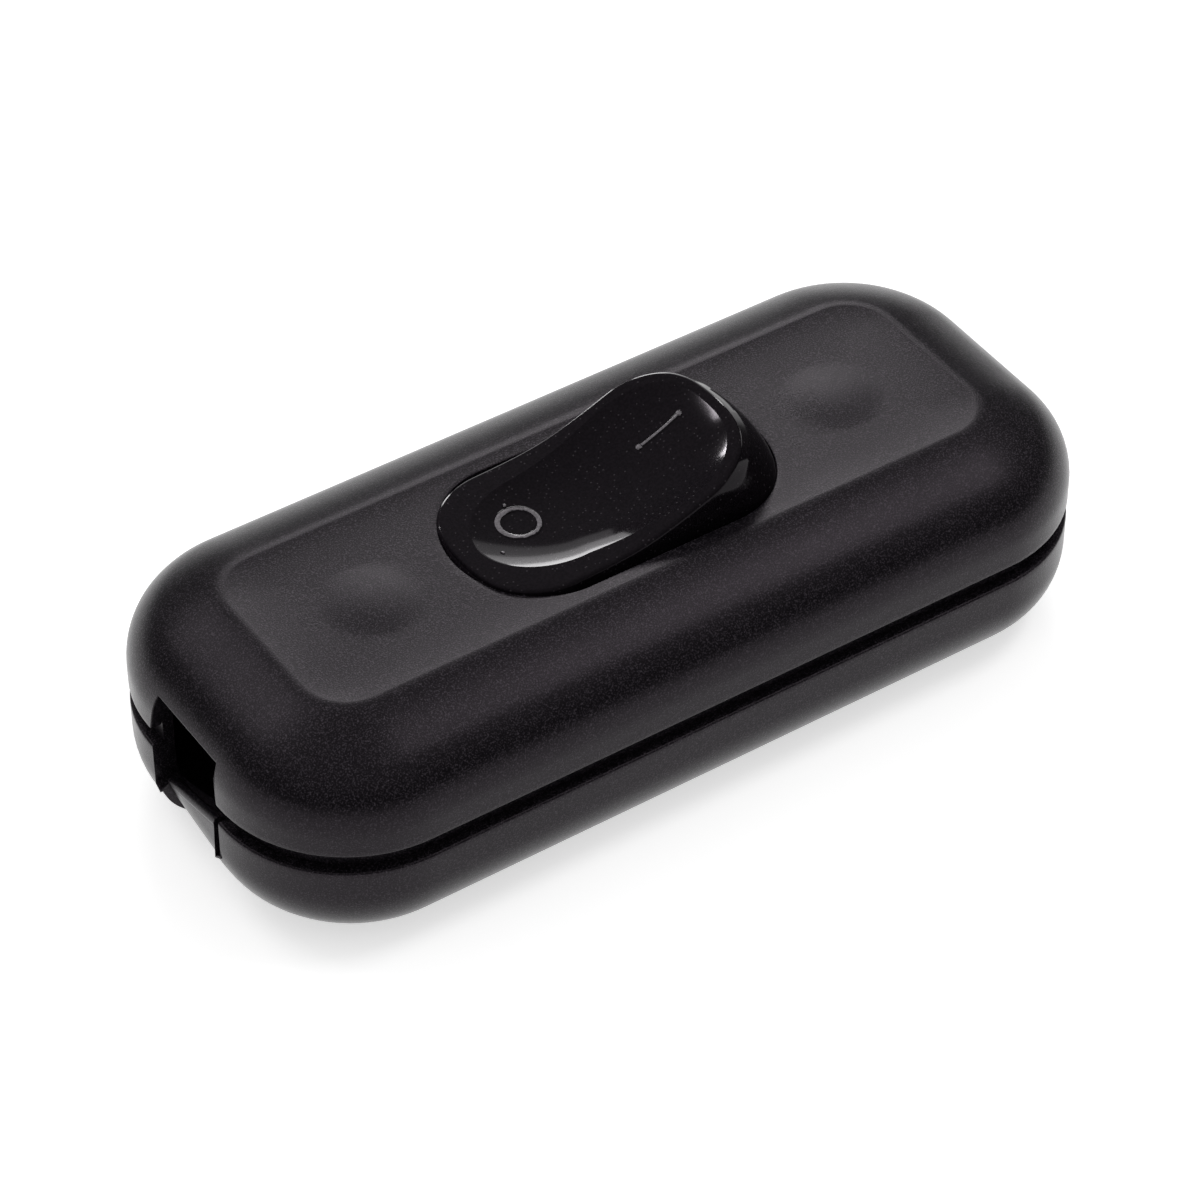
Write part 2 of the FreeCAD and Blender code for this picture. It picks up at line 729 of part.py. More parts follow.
save("upper_shell", upper_shell())
save("lower_shell", lower_shell())
save("rocker", rocker())
for name, hand in (("front", -1), ("rear", 1)):
    save("plunger_" + name, plunger(hand))
    save("plunger_spring_" + name, spring(hand))
    save("contact_blade_" + name, blade(hand))
    save("moving_contact_" + name, moving_contact(hand))
    save("fulcrum_terminal_" + name, fulcrum_terminal(hand))
    save("fixed_terminal_" + name, fixed_terminal(hand))
    save("fixed_contact_" + name, fixed_contact(hand))
corners = [(side, hand) for side in (-1, 1) for hand in (-1, 1)]
save("wire_clamp_plates", *[wire_clamp_plate(side, hand) for side, hand in corners])
save("terminal_screws", *[terminal_screw(side, hand) for side, hand in corners])
save("cord_clamp_left", cord_clamp(-1))
save("cord_clamp_right", cord_clamp(1))
save("cord_clamp_screws", *[clamp_screw(side, hand) for side, hand in corners])
save("housing_screws", housing_screw(-1), housing_screw(1))
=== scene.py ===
import json
import math
import bmesh
import bpy
import numpy as np
from mathutils import Matrix


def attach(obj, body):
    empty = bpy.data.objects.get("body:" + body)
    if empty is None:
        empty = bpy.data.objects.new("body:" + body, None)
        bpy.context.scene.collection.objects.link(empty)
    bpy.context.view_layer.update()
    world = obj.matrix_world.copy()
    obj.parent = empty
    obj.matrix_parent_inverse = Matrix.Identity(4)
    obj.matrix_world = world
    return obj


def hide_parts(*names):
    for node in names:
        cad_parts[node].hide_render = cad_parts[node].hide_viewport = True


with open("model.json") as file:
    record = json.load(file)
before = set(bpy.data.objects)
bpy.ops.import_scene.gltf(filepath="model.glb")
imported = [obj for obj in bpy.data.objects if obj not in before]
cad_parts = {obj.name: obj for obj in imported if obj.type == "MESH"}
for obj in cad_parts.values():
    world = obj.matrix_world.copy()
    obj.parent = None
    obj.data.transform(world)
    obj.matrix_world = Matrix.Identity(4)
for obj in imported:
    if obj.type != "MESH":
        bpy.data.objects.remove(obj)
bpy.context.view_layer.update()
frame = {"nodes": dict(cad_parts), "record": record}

mm = 0.001
tiny = 1e-6
renderScene = bpy.context.scene
renderScene.view_settings.view_transform = "Standard"


# small tools for surfaces, all in millimetres

def gridFaces(rows, columns, wrapRows, wrapColumns, first):
    # the four corners of every cell of a grid, as vertex numbers
    rowEnd = rows if wrapRows else rows - 1
    columnEnd = columns if wrapColumns else columns - 1
    i, j = np.meshgrid(np.arange(rowEnd), np.arange(columnEnd), indexing="ij")
    iNext, jNext = (i + 1) % rows, (j + 1) % columns
    corners = [i * columns + j, i * columns + jNext, iNext * columns + jNext, iNext * columns + j]
    return np.stack(corners, -1).reshape(-1, 4) + first


def surfaceMesh(name, patches, sharpAngle=38):
    # each patch is a grid of points with two flags that say which ways it closes on itself
    weldDistance, sliverDistance = 0.004 * mm, 0.001 * mm
    points, faces, first = [], [], 0
    for grid, wrapRows, wrapColumns in patches:
        rows, columns = grid.shape[:2]
        faces.append(gridFaces(rows, columns, wrapRows, wrapColumns, first))
        points.append(grid.reshape(-1, 3))
        first += rows * columns
    mesh = bpy.data.meshes.new(name)
    mesh.from_pydata((np.concatenate(points) * mm).tolist(), [], np.concatenate(faces).tolist())
    work = bmesh.new()
    work.from_mesh(mesh)
    bmesh.ops.remove_doubles(work, verts=work.verts, dist=weldDistance)
    bmesh.ops.dissolve_degenerate(work, edges=work.edges, dist=sliverDistance)
    bmesh.ops.recalc_face_normals(work, faces=work.faces)
    work.to_mesh(mesh)
    work.free()
    mesh.polygons.foreach_set("use_smooth", np.ones(len(mesh.polygons), dtype=bool))
    mesh.set_sharp_from_angle(angle=math.radians(sharpAngle))
    mesh.update()
    piece = bpy.data.objects.new(name, mesh)
    bpy.context.collection.objects.link(piece)
    return piece


def turnedRing(x, y, profile, count=40):
    # a closed profile of radius and height, carried once round an upright axis
    turn = np.linspace(0, 2 * np.pi, count, endpoint=False)[:, None]
    radius, height = np.array(profile, dtype=float).T
    return np.stack([x + radius * np.cos(turn), y + radius * np.sin(turn), height + 0 * turn], -1)


def plainBlock(x0, x1, y0, y1, z0, z1):
    # a box as four rings: a point, the lower rectangle, the upper rectangle and a point
    cornersX = np.array([x0, x1, x1, x0])
    cornersY = np.array([y0, y0, y1, y1])
    same = np.full(4, 1.0)
    middleX, middleY = same * (x0 + x1) / 2, same * (y0 + y1) / 2
    rings = [(middleX, middleY, same * z0), (cornersX, cornersY, same * z0),
             (cornersX, cornersY, same * z1), (middleX, middleY, same * z1)]
    return (np.stack([np.stack(ring, -1) for ring in rings]), False, True)


def crossRod(start, end, radius, count=28):
    # a closed cylinder from one place to another: a point, two upright circles and a point
    turn = np.linspace(0, 2 * np.pi, count, endpoint=False)
    radii = np.array([0.0, radius, radius, 0.0])[:, None]
    middle = np.array([start, start, end, end], dtype=float)[:, None, :]
    ring = np.stack([radii * np.cos(turn), radii * 0 * turn, radii * np.sin(turn)], -1)
    return (middle + ring, False, True)


# the housing's plan, shared by both shells

housing = {
    "length": 72.0, "width": 31.6, "height": 18.0, "cornerRadius": 10.85,
    "shoulderInset": 6.29, "edgeAngle": 15.0, "edgeRound": 1.0,
    "upperArc": 14.8, "arcJoinAngle": 30.0, "lowerArc": 5.44,
    "baseRadius": 5.9, "wall": 1.8, "floor": 2.0, "lowerRim": 8.5, "upperRim": 10.05,
    "tongueInset": 0.95, "tongueTop": 11.2, "tonguePlay": 0.1, "edgeSoftness": 0.2,
    "notchTop": 13.7, "notchFront": 4.38, "notchRimFront": 4.65, "notchBack": 3.72, "notchRimBack": 4.6,
    "plateHalf": 3.85, "plateSetBack": 0.03, "slotFront": 4.74, "slotBack": 4.5, "slotLow": 4.5,
    "slotSlope": 0.6, "lipRadius": 0.42, "lipFront": (35.5, 7.6), "lipBack": (34.95, 4.95),
    "bossPlace": 20.0, "swellRadius": 3.9, "swellRise": 0.17, "sag": 0.18, "sagReach": 2.0,
    "openingHalfLength": 13.12, "openingHalfWidth": 7.38, "openingEnd": 6.7, "openingSoftness": 0.11,
    "pivotHeight": 12.4,
}


def planColumns(size):
    # columns run once round the plan: core point, outward direction and the matching turn on the opening
    coreX = size["length"] / 2 - size["cornerRadius"]
    coreY = size["width"] / 2 - size["cornerRadius"]
    # the columns at the ends include the edges of the notch, the plate and the slots beside it
    half = np.array([4.85, 4.74, 4.65, 4.6, 4.5, 4.49, 4.38, 4.25, 4.1, 4.0,
                     3.88, 3.85, 3.72, 3.4, 3.0, 2.4, 1.8, 1.2, 0.6])
    endY = np.concatenate([[-coreY], -half, [0.0], half[::-1], [coreY]])
    arc = np.linspace(0, np.pi / 2, 22)[1:-1]
    sideX = np.linspace(-1, 1, 39) * coreX
    flat = np.ones_like
    parts = [
        (flat(endY) * coreX, endY, flat(endY) * 0.0),
        (flat(arc) * coreX, flat(arc) * coreY, arc),
        (sideX[::-1], flat(sideX) * coreY, flat(sideX) * np.pi / 2),
        (-flat(arc) * coreX, flat(arc) * coreY, arc + np.pi / 2),
        (-flat(endY) * coreX, endY[::-1], flat(endY) * np.pi),
        (-flat(arc) * coreX, -flat(arc) * coreY, arc + np.pi),
        (sideX, -flat(sideX) * coreY, flat(sideX) * 3 * np.pi / 2),
        (flat(arc) * coreX, -flat(arc) * coreY, arc + 3 * np.pi / 2),
    ]
    x, y, angle = [np.concatenate(values) for values in zip(*parts)]
    return x, y, np.cos(angle), np.sin(angle)


def planRing(size, columns, inset, height):
    # core point plus the corner radius less the inset, along the outward direction
    x, y, nx, ny = columns
    reach = size["cornerRadius"] - inset
    return np.stack([x + reach * nx, y + reach * ny, height + 0 * x], -1)


def openingRing(size, columns, height, grow=0.0, stretch=0.0):
    # half-elliptic ends joined by straight sides; the turn follows the distance along the shoulder's edge
    x, y, nx, ny = columns
    coreX, coreY = size["length"] / 2 - size["cornerRadius"], size["width"] / 2 - size["cornerRadius"]
    radius = size["cornerRadius"] - size["shoulderInset"]
    quarter = radius * np.pi / 2
    total = 2 * quarter + 2 * coreY
    along = np.arctan2(np.abs(ny), np.abs(nx)) * radius + np.abs(y)
    turn = np.clip(along / (total / 2), 0, 1) * np.pi / 2
    onSide = np.abs(nx) < tiny
    run = size["openingHalfLength"] - size["openingEnd"]
    endX = np.sign(nx) * (run + (size["openingEnd"] + grow + stretch) * np.cos(turn))
    endY = np.sign(y + ny * 1e-3) * (size["openingHalfWidth"] + grow) * np.sin(turn)
    sideX = x / coreX * run
    sideY = np.sign(ny) * (size["openingHalfWidth"] + grow)
    return np.stack([np.where(onSide, sideX, endX), np.where(onSide, sideY, endY), height + 0 * x], -1)


def shoulderProfile(size):
    # inset and height from the plateau's edge down: two arcs that share a tangent, then a straight wall
    a0, a1 = np.radians(size["edgeAngle"]), np.radians(size["arcJoinAngle"])
    upper = np.linspace(a0, a1, 12)
    lower = np.linspace(a1, np.pi / 2, 19)[1:]
    inset = size["shoulderInset"] - size["upperArc"] * (np.sin(upper) - np.sin(a0))
    drop = size["upperArc"] * (np.cos(a0) - np.cos(upper))
    inset2 = inset[-1] - size["lowerArc"] * (np.sin(lower) - np.sin(a1))
    drop2 = drop[-1] + size["lowerArc"] * (np.cos(a1) - np.cos(lower))
    leastInset = 0.003
    insets = np.maximum(np.concatenate([inset, inset2]), leastInset)
    return insets, size["height"] - np.concatenate([drop, drop2])


def entryShape(size, columns):
    # the upper shell's rim: level, and at both ends it climbs slanting sides to the notch's top
    x, y, nx, ny = columns
    atEnd = np.abs(np.abs(nx) - 1) < tiny
    front = (size["notchRimFront"] + y) / (size["notchRimFront"] - size["notchFront"])
    back = (size["notchRimBack"] - y) / (size["notchRimBack"] - size["notchBack"])
    rise = np.where(atEnd, np.clip(np.minimum(front, back), 0, 1), 0)
    return size["upperRim"] + (size["notchTop"] - size["upperRim"]) * rise


def lipLine(size, y):
    # distance from the middle and height of the saddle lip, which sinks and draws back towards the rear
    share = (y + size["plateHalf"]) / (2 * size["plateHalf"])
    (frontX, frontZ), (backX, backZ) = size["lipFront"], size["lipBack"]
    return frontX + (backX - frontX) * share, frontZ + (backZ - frontZ) * share


def plateauDrop(size, x, y):
    # the top face sinks quickly inside its edge, then stays low, and swells back up over the two bosses
    overX = np.abs(x) - (size["length"] / 2 - size["cornerRadius"])
    overY = np.abs(y) - (size["width"] / 2 - size["cornerRadius"])
    outside = np.hypot(np.maximum(overX, 0), np.maximum(overY, 0)) + np.minimum(np.maximum(overX, overY), 0)
    within = np.maximum(size["cornerRadius"] - size["shoulderInset"] - size["edgeRound"] - outside, 0)
    fromBoss = np.hypot(np.abs(x) - size["bossPlace"], y) / size["swellRadius"]
    swell = np.clip(1 - fromBoss ** 2, 0, 1) ** 1.5
    return size["sag"] * (1 - np.exp(-within / size["sagReach"])) - size["swellRise"] * swell


columns = planColumns(housing)


# upper shell

upperInside = {
    "pilotRadius": 1.5, "bossRadius": 3.2, "bossLow": 9.0, "letIn": 0.3,
    "lugNear": 7.7, "lugFar": 9.3, "lugHalf": 3.2, "lugLow": 10.6, "bearingRadius": 1.35, "bridgeHalf": 1.5,
}


def upperShell(size):
    # a closed wall: plateau, shoulder, side, rim, inner side and ceiling, back to the opening
    soft = size["edgeSoftness"]
    insets, heights = shoulderProfile(size)
    lowEdge = entryShape(size, columns)
    rings = []
    ceiling = size["height"] - size["wall"]
    endRadius = math.hypot(size["openingHalfLength"], size["height"] - size["pivotHeight"])
    openingSoft = size["openingSoftness"]
    for z in np.linspace(ceiling, size["height"] - openingSoft, 5):
        stretch = math.sqrt(endRadius ** 2 - (z - size["pivotHeight"]) ** 2) - size["openingHalfLength"]
        rings.append(openingRing(size, columns, z, 0, stretch))
    for turn in np.linspace(0, np.pi / 2, 6)[1:]:
        grow, fall = openingSoft * (1 - np.cos(turn)), openingSoft * (1 - np.sin(turn))
        rings.append(openingRing(size, columns, size["height"] - fall, grow))
    for ring in rings:
        ring[:, 2] -= plateauDrop(size, ring[:, 0], ring[:, 1]) * (ring[:, 2] - ceiling) / size["wall"]
    inner = rings[-1] * np.array([1, 1, 0]) + np.array([0, 0, size["height"]])
    edgeRound = size["edgeRound"]
    outer = planRing(size, columns, size["shoulderInset"] + edgeRound, size["height"])
    for share in np.linspace(0, 1, 40)[1:]:
        ring = inner + (outer - inner) * (1 - (1 - share) ** 1.4)
        ring[:, 2] -= plateauDrop(size, ring[:, 0], ring[:, 1])
        rings.append(ring)
    softFall = edgeRound * math.tan(math.radians(size["edgeAngle"])) / 2
    for share in (0.2, 0.4, 0.6, 0.8):
        inset = size["shoulderInset"] + edgeRound * (1 - share)
        rings.append(planRing(size, columns, inset, size["height"] - softFall * share ** 2))
    aboveNotch = 0.5
    keep = heights > size["notchTop"] + aboveNotch
    startZ = heights[keep][-1]
    for inset, z in zip(insets[keep], heights[keep]):
        fall = softFall * (z - startZ) / (size["height"] - startZ)
        rings.append(planRing(size, columns, inset, z - fall))
    order = np.argsort(heights)
    for share in np.linspace(0, 1, 13)[1:]:
        z = startZ + (lowEdge + soft - startZ) * share
        inset = np.interp(z, heights[order], insets[order])
        rings.append(planRing(size, columns, inset, z))
    rimInset = np.interp(lowEdge + soft, heights[order], insets[order])
    for turn in np.linspace(0, np.pi / 2, 5)[1:]:
        inset = rimInset + soft * (1 - np.cos(turn))
        rings.append(planRing(size, columns, inset, lowEdge + soft * (1 - np.sin(turn))))
    # the rabbet for the tongue, which runs out where the notch cuts the wall
    play, hair = size["tonguePlay"], 0.02
    thin = size["tongueInset"] - play
    inNotch = (lowEdge - size["upperRim"]) / (size["notchTop"] - size["upperRim"])
    stepInset = thin + (size["wall"] - thin - hair) * inNotch
    stepTop = np.maximum(size["tongueTop"] + play, lowEdge + play)
    rings.append(planRing(size, columns, stepInset, lowEdge))
    rings.append(planRing(size, columns, stepInset, stepTop))
    rings.append(planRing(size, columns, size["wall"] + 0 * lowEdge, stepTop))
    innerRadius = size["shoulderInset"] - size["wall"]
    riseStart = ceiling - innerRadius
    wallTop = np.maximum(stepTop, riseStart - play) + hair / 2
    rings.append(planRing(size, columns, size["wall"] + 0 * lowEdge, wallTop))
    firstTurn = np.arcsin(np.clip((np.maximum(stepTop, riseStart) + hair - riseStart) / innerRadius, 0, 1))
    for share in np.linspace(0, 1, 9):
        turn = firstTurn + (np.pi / 2 - firstTurn) * share
        rings.append(planRing(size, columns, size["wall"] + innerRadius * (1 - np.cos(turn)),
                              riseStart + innerRadius * np.sin(turn)))
    last = rings[-1]
    for share in (0.35, 0.7):
        rings.append(last + (rings[0] - last) * share)
    return (np.stack(rings), True, True)


def upperFittings(size, inside):
    # bosses as turned rings and bearing lugs as plain blocks, all let into the ceiling
    top = size["height"] - size["wall"] + inside["letIn"]
    pilot, boss, low = inside["pilotRadius"], inside["bossRadius"], inside["bossLow"]
    bearing, half, bridge = inside["bearingRadius"], inside["lugHalf"], inside["bridgeHalf"]
    pieces = []
    for side in (-1, 1):
        profile = [(pilot, low), (boss, low), (boss, top), (pilot, top)]
        pieces.append((turnedRing(side * size["bossPlace"], 0, profile), True, True))
        near, far = sorted((side * inside["lugNear"], side * inside["lugFar"]))
        for x0, x1 in ((-half, -bearing), (bearing, half)):
            pieces.append(plainBlock(x0, x1, near, far, inside["lugLow"], top))
        pieces.append(plainBlock(-bridge, bridge, near, far, size["pivotHeight"] + bearing, top))
    return pieces


print("upper shell")
upperPiece = surfaceMesh("upperShellSurface", [upperShell(housing)] + upperFittings(housing, upperInside))
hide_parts("upper_shell")
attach(upperPiece, "housing")


# lower shell

# the wells are pairs of radius and height
lowerInside = {
    "letIn": 0.4, "outerWell": [(3.0, 0.0), (3.0, 4.0), (1.7, 4.0), (1.7, 9.0), (2.45, 9.0)],
    "innerWell": [(4.1, 2.0), (4.1, 5.4), (3.2, 5.4), (3.2, 9.0), (2.45, 9.0)],
    "clampPlace": 28.8, "gripHalf": 0.6, "gripTop": 8.55,
    "postAcross": 6.4, "postRadius": 2.1, "postTop": 12.0, "pilotRadius": 1.2, "pilotLow": 6.3,
    "pocketPlace": 18.0, "pocketHalf": 4.1, "pocketRibHalf": 0.4, "pocketRibTop": 4.2,
    "pocketNear": 4.8, "pocketBeyond": 9.8, "pocketFar": 13.2,
    "dividerReach": 17.3, "dividerHalf": 0.5, "dividerTop": 8.4,
    "restPlaces": (-11.0, -6.6, 0.0, 11.0), "restHalf": 1.0,
    "restNear": 2.4, "restFar": 5.4, "restTop": 2.59,
}


def lowerShell(size, inside):
    # the outside down to the base, the inside down to the floor, then both halves of each with their wells
    soft, hair, gap = size["edgeSoftness"], 0.02, 0.05
    x, y, nx, ny = columns
    atEnd = np.abs(np.abs(nx) - 1) < tiny
    offset = np.abs(y)
    onPlate = atEnd & (offset <= size["plateHalf"] + tiny)
    slotEdge = np.where(y < 0, size["slotFront"], size["slotBack"])
    inSlot = atEnd & (offset > size["plateHalf"] + tiny) & (offset < slotEdge - tiny)
    lipX, lipZ = lipLine(size, y)
    push = np.where(onPlate, size["length"] / 2 - lipX - size["lipRadius"] + size["plateSetBack"], 0.0)
    slotFloor = size["slotLow"] + size["slotSlope"] * (offset - size["plateHalf"])
    rim = np.where(onPlate, lipZ, np.where(inSlot, slotFloor, size["lowerRim"]))
    tongue = np.where(onPlate | inSlot, rim + hair, size["tongueTop"])
    play = size["tonguePlay"]
    rings = [planRing(size, columns, size["wall"] + 0 * x, tongue),
             planRing(size, columns, size["tongueInset"] + play + 0 * x, tongue),
             planRing(size, columns, size["tongueInset"] + 0 * x, np.maximum(tongue - play, rim)),
             planRing(size, columns, size["tongueInset"] + 0 * x, rim),
             planRing(size, columns, soft + push, rim)]
    for turn in np.linspace(0, np.pi / 2, 5)[1:]:
        inset = soft * (1 - np.sin(turn)) + push
        rings.append(planRing(size, columns, inset, rim - soft * (1 - np.cos(turn))))
    base = size["baseRadius"]
    top = rim - soft
    low = np.minimum(top - gap, base)
    for share in np.linspace(0, 1, 7)[1:]:
        z = top + (low - top) * share
        fall = np.clip((base - z) / base, 0, 1)
        rings.append(planRing(size, columns, base * (1 - np.sqrt(1 - fall ** 2)) + push, z))
    startTurn = np.arcsin(np.clip((base - low) / base, 0, 1))
    for share in np.linspace(0, 1, 22)[1:]:
        turn = startTurn + (np.pi / 2 - startTurn) * share
        fade = push * (1 - share ** 3)
        rings.append(planRing(size, columns, base * (1 - np.cos(turn)) + fade, base * (1 - np.sin(turn))))
    outer = np.stack(rings)
    innerRadius = base - size["wall"]
    rings = [rings[0]]
    for z in (8.0, 7.0):
        rings.append(planRing(size, columns, size["wall"] + 0 * x, np.minimum(tongue - hair, z)))
    for turn in np.linspace(0, np.pi / 2, 9):
        z = size["floor"] + innerRadius * (1 - np.sin(turn))
        inset = size["wall"] + innerRadius * (1 - np.cos(turn))
        rings.append(planRing(size, columns, inset, np.minimum(z, tongue - hair * 1.5)))
    inner = np.stack(rings)
    patches = [(outer, False, True), (inner, False, True)]
    for side in (-1, 1):
        patches += baseHalf(size, outer[-1], side, inside["outerWell"])
        patches += baseHalf(size, inner[-1], side, inside["innerWell"])
    return patches


def baseHalf(size, ring, side, well):
    # half of a flat ring, closed along the middle line and drawn in to a circle, then the turned well
    keep = ring[:, 0] * side >= -tiny
    start = int(np.argmax(keep & ~np.roll(keep, 1)))
    half = np.roll(ring, -start, axis=0)[: int(keep.sum())]
    lineEnd, lineStart = half[0], half[-1]
    line = lineStart + (lineEnd - lineStart) * np.linspace(0, 1, 20)[1:-1, None]
    edge = np.concatenate([half, line])
    centre = np.array([side * size["bossPlace"], 0.0])
    turn = np.arctan2(edge[:, 1] - centre[1], edge[:, 0] - centre[0])
    turned = [np.stack([centre[0] + r * np.cos(turn), centre[1] + r * np.sin(turn), z + 0 * turn], -1)
              for r, z in well]
    flat = np.stack([edge + (turned[0] - edge) * share for share in np.linspace(0, 1, 7)])
    return [(flat, False, True), (np.stack(turned), False, True)]


def lowerFittings(size, inside):
    # cord saddle lips, grip ribs, clamp posts, pocket ribs, the divider and low rests, let into the floor
    pieces = []
    deep = size["floor"] - inside["letIn"]
    grip, rib = inside["gripHalf"], inside["pocketRibHalf"]
    outer, pilot, low = inside["postRadius"], inside["pilotRadius"], inside["pilotLow"]
    postTop = inside["postTop"]
    post = [(0.0, deep), (outer, deep), (outer, postTop), (pilot, postTop), (pilot, low), (0.0, low)]
    for side in (-1, 1):
        ends = []
        for y in (-size["plateHalf"], size["plateHalf"]):
            lipX, lipZ = lipLine(size, y)
            ends.append((side * lipX, y, lipZ))
        pieces.append(crossRod(ends[0], ends[1], size["lipRadius"]))
        clampX, across = side * inside["clampPlace"], inside["postAcross"]
        pieces.append(plainBlock(clampX - grip, clampX + grip, -across, across, deep, inside["gripTop"]))
        for hand in (-1, 1):
            pieces.append((turnedRing(clampX, hand * across, post, 32), True, False))
            for end in (-1, 1):
                # the rib nearer the middle leaves room for the strip
                ribX = side * inside["pocketPlace"] + end * inside["pocketHalf"]
                ribStart = inside["pocketBeyond"] if end != side else inside["pocketNear"]
                near, far = sorted((hand * ribStart, hand * inside["pocketFar"]))
                pieces.append(plainBlock(ribX - rib, ribX + rib, near, far, deep, inside["pocketRibTop"]))
    reach, half = inside["dividerReach"], inside["dividerHalf"]
    pieces.append(plainBlock(-reach, reach, -half, half, deep, inside["dividerTop"]))
    for hand in (-1, 1):
        near, far = sorted((hand * inside["restNear"], hand * inside["restFar"]))
        for restX in inside["restPlaces"]:
            ends = restX - inside["restHalf"], restX + inside["restHalf"]
            pieces.append(plainBlock(*ends, near, far, deep, inside["restTop"]))
    return pieces


print("lower shell")
lowerPatches = lowerShell(housing, lowerInside) + lowerFittings(housing, lowerInside)
lowerPiece = surfaceMesh("lowerShellSurface", lowerPatches)
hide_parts("lower_shell")
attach(lowerPiece, "housing")


# rocker, worked out level about its pivot and then tilted

rocker = {
    "halfWidth": 6.85, "endLength": 5.35, "endStart": 7.6, "pivotDepth": 5.6, "rise": 1.0,
    "slope": 0.2, "bend": 3.3, "tilt": 12.0, "rimSoftness": 0.34, "cornerFullness": 0.42,
    "dishOff": (-3.5, 6.3, 4.9, 2.0), "dishOn": (4.5, 6.17, 5.9, 2.5), "dishMiddle": 0.5,
    "dishDepth": 0.75, "dishPower": 2.6, "skirt": 1.2, "wall": 1.4, "cornerFade": 0.8,
    "ringPlace": (-5.8, 1.25), "ringRadius": 1.5, "ringHalfWidth": 0.33,
    "barPlace": (6.98, 1.34), "barHalfLength": 1.86, "barSlope": -0.032, "barHalfWidth": 0.25,
    "markRise": 0.08, "markCrown": 0.85, "markLimit": 0.95, "markDepth": 0.2,
    "dotRadius": 0.3, "dotRise": 1.3, "nubPlaces": [(-5.63, 3.22), (-8.41, -1.03)], "nubRadius": 0.2,
    "trunnionRadius": 1.3, "trunnionNear": 5.5, "trunnionFar": 9.0,
    "cheekRadius": 2.6, "cheekNear": 5.46, "cheekFar": 6.84, "cheekTop": 2.2,
    "sleevePlace": 3.9, "sleeveInner": 1.53, "sleeveOuter": 2.33, "sleeveLow": -3.2, "sleeveTop": 4.8,
}


def rimHeight(size, x):
    # a shallow V with a soft bend in the middle
    bent = np.sqrt(x ** 2 + size["bend"] ** 2) - size["bend"]
    return size["pivotDepth"] + size["rise"] + size["slope"] * bent


def dishReach(size, x, y):
    # 0 in the middle of the dish and 1 at its crease: round at the off end, squarer and wider at the on end
    offX, offLong, offWide, offPower = size["dishOff"]
    onX, onLong, onWide, onPower = size["dishOn"]
    share = np.clip((x - offX) / (onX - offX), 0, 1)
    across = np.abs(y) / (offWide + (onWide - offWide) * share)
    offPast = np.maximum(offX - x, 0) / offLong
    onPast = np.maximum(x - onX, 0) / onLong
    offReach = (offPast ** offPower + across ** offPower) ** (1 / offPower)
    onReach = (onPast ** onPower + across ** onPower) ** (1 / onPower)
    return np.where(x > onX, onReach, offReach)


def fingerHeight(size, x, y):
    # the rim's height less a dish that is deepest along the middle and ends in a crease
    hollow = np.maximum(0, 1 - dishReach(size, x, y) ** size["dishPower"])
    return rimHeight(size, x) - size["dishDepth"] * hollow


def rockerColumns(size):
    # turns round both ends and shares along both sides; kind is 1 or -1 on an end and 0 on a side
    turn = np.linspace(-np.pi / 2, np.pi / 2, 49)
    share = np.linspace(-1, 1, 17)[1:-1]
    kind = np.concatenate([turn * 0 + 1, share * 0, turn * 0 - 1, share * 0])
    turns = np.concatenate([turn, share * 0 + np.pi / 2, turn[::-1], share * 0 - np.pi / 2])
    shares = np.concatenate([turn * 0 + 1, -share, turn * 0 - 1, share])
    return kind, turns, shares


def rockerRing(size, z, inset=0.0, full=0.0):
    # at each turn the end keeps one distance from the pivot, so its reach shrinks with height
    kind, turns, shares = rockerColumns(size)
    radius = np.hypot(size["endStart"] + size["endLength"] * np.cos(turns), size["pivotDepth"]) - inset
    reach = np.sqrt(radius ** 2 - z ** 2) + full * np.sin(2 * turns) ** 2
    sideRadius = math.hypot(size["endStart"], size["pivotDepth"]) - inset
    sideReach = np.sqrt(sideRadius ** 2 - z ** 2)
    x = np.where(kind == 0, shares * sideReach, kind * reach)
    y = (size["halfWidth"] - inset) * np.sin(turns)
    return np.stack([x, y, z + 0 * x], -1)


def rimRing(size):
    # the ring where the wall meets the finger surface, found by settling its height a few times
    kind, turns, shares = rockerColumns(size)
    z = rimHeight(size, size["endStart"] + 0 * turns)
    for settle in range(12):
        ring = rockerRing(size, z, 0, size["cornerFullness"])
        z = rimHeight(size, ring[:, 0])
    return ring


def dishRing(size, scale):
    # the crease line drawn in about the middle of the dish
    kind, turns, shares = rockerColumns(size)
    offX, offLong, offWide, offPower = size["dishOff"]
    onX, onLong, onWide, onPower = size["dishOn"]
    along = offX + (onX - offX) * (shares + 1) / 2
    wide = offWide + (onWide - offWide) * (shares + 1) / 2
    side = np.sign(np.sin(turns))
    onEndX = onX + onLong * np.abs(np.cos(turns)) ** (2 / onPower)
    onEndY = onWide * side * np.abs(np.sin(turns)) ** (2 / onPower)
    x = np.where(kind == 0, along, np.where(kind > 0, onEndX, offX - offLong * np.abs(np.cos(turns))))
    y = np.where(kind == 0, wide * side, np.where(kind > 0, onEndY, offWide * np.sin(turns)))
    x, y = size["dishMiddle"] + scale * (x - size["dishMiddle"]), scale * y
    return np.stack([x, y, fingerHeight(size, x, y)], -1)


def outwardOf(ring):
    # across the ring's own direction, in plan
    along = np.roll(ring, -1, axis=0) - np.roll(ring, 1, axis=0)
    out = np.stack([along[:, 1], -along[:, 0]], -1)
    return out / np.maximum(np.linalg.norm(out, axis=1), 1e-9)[:, None]


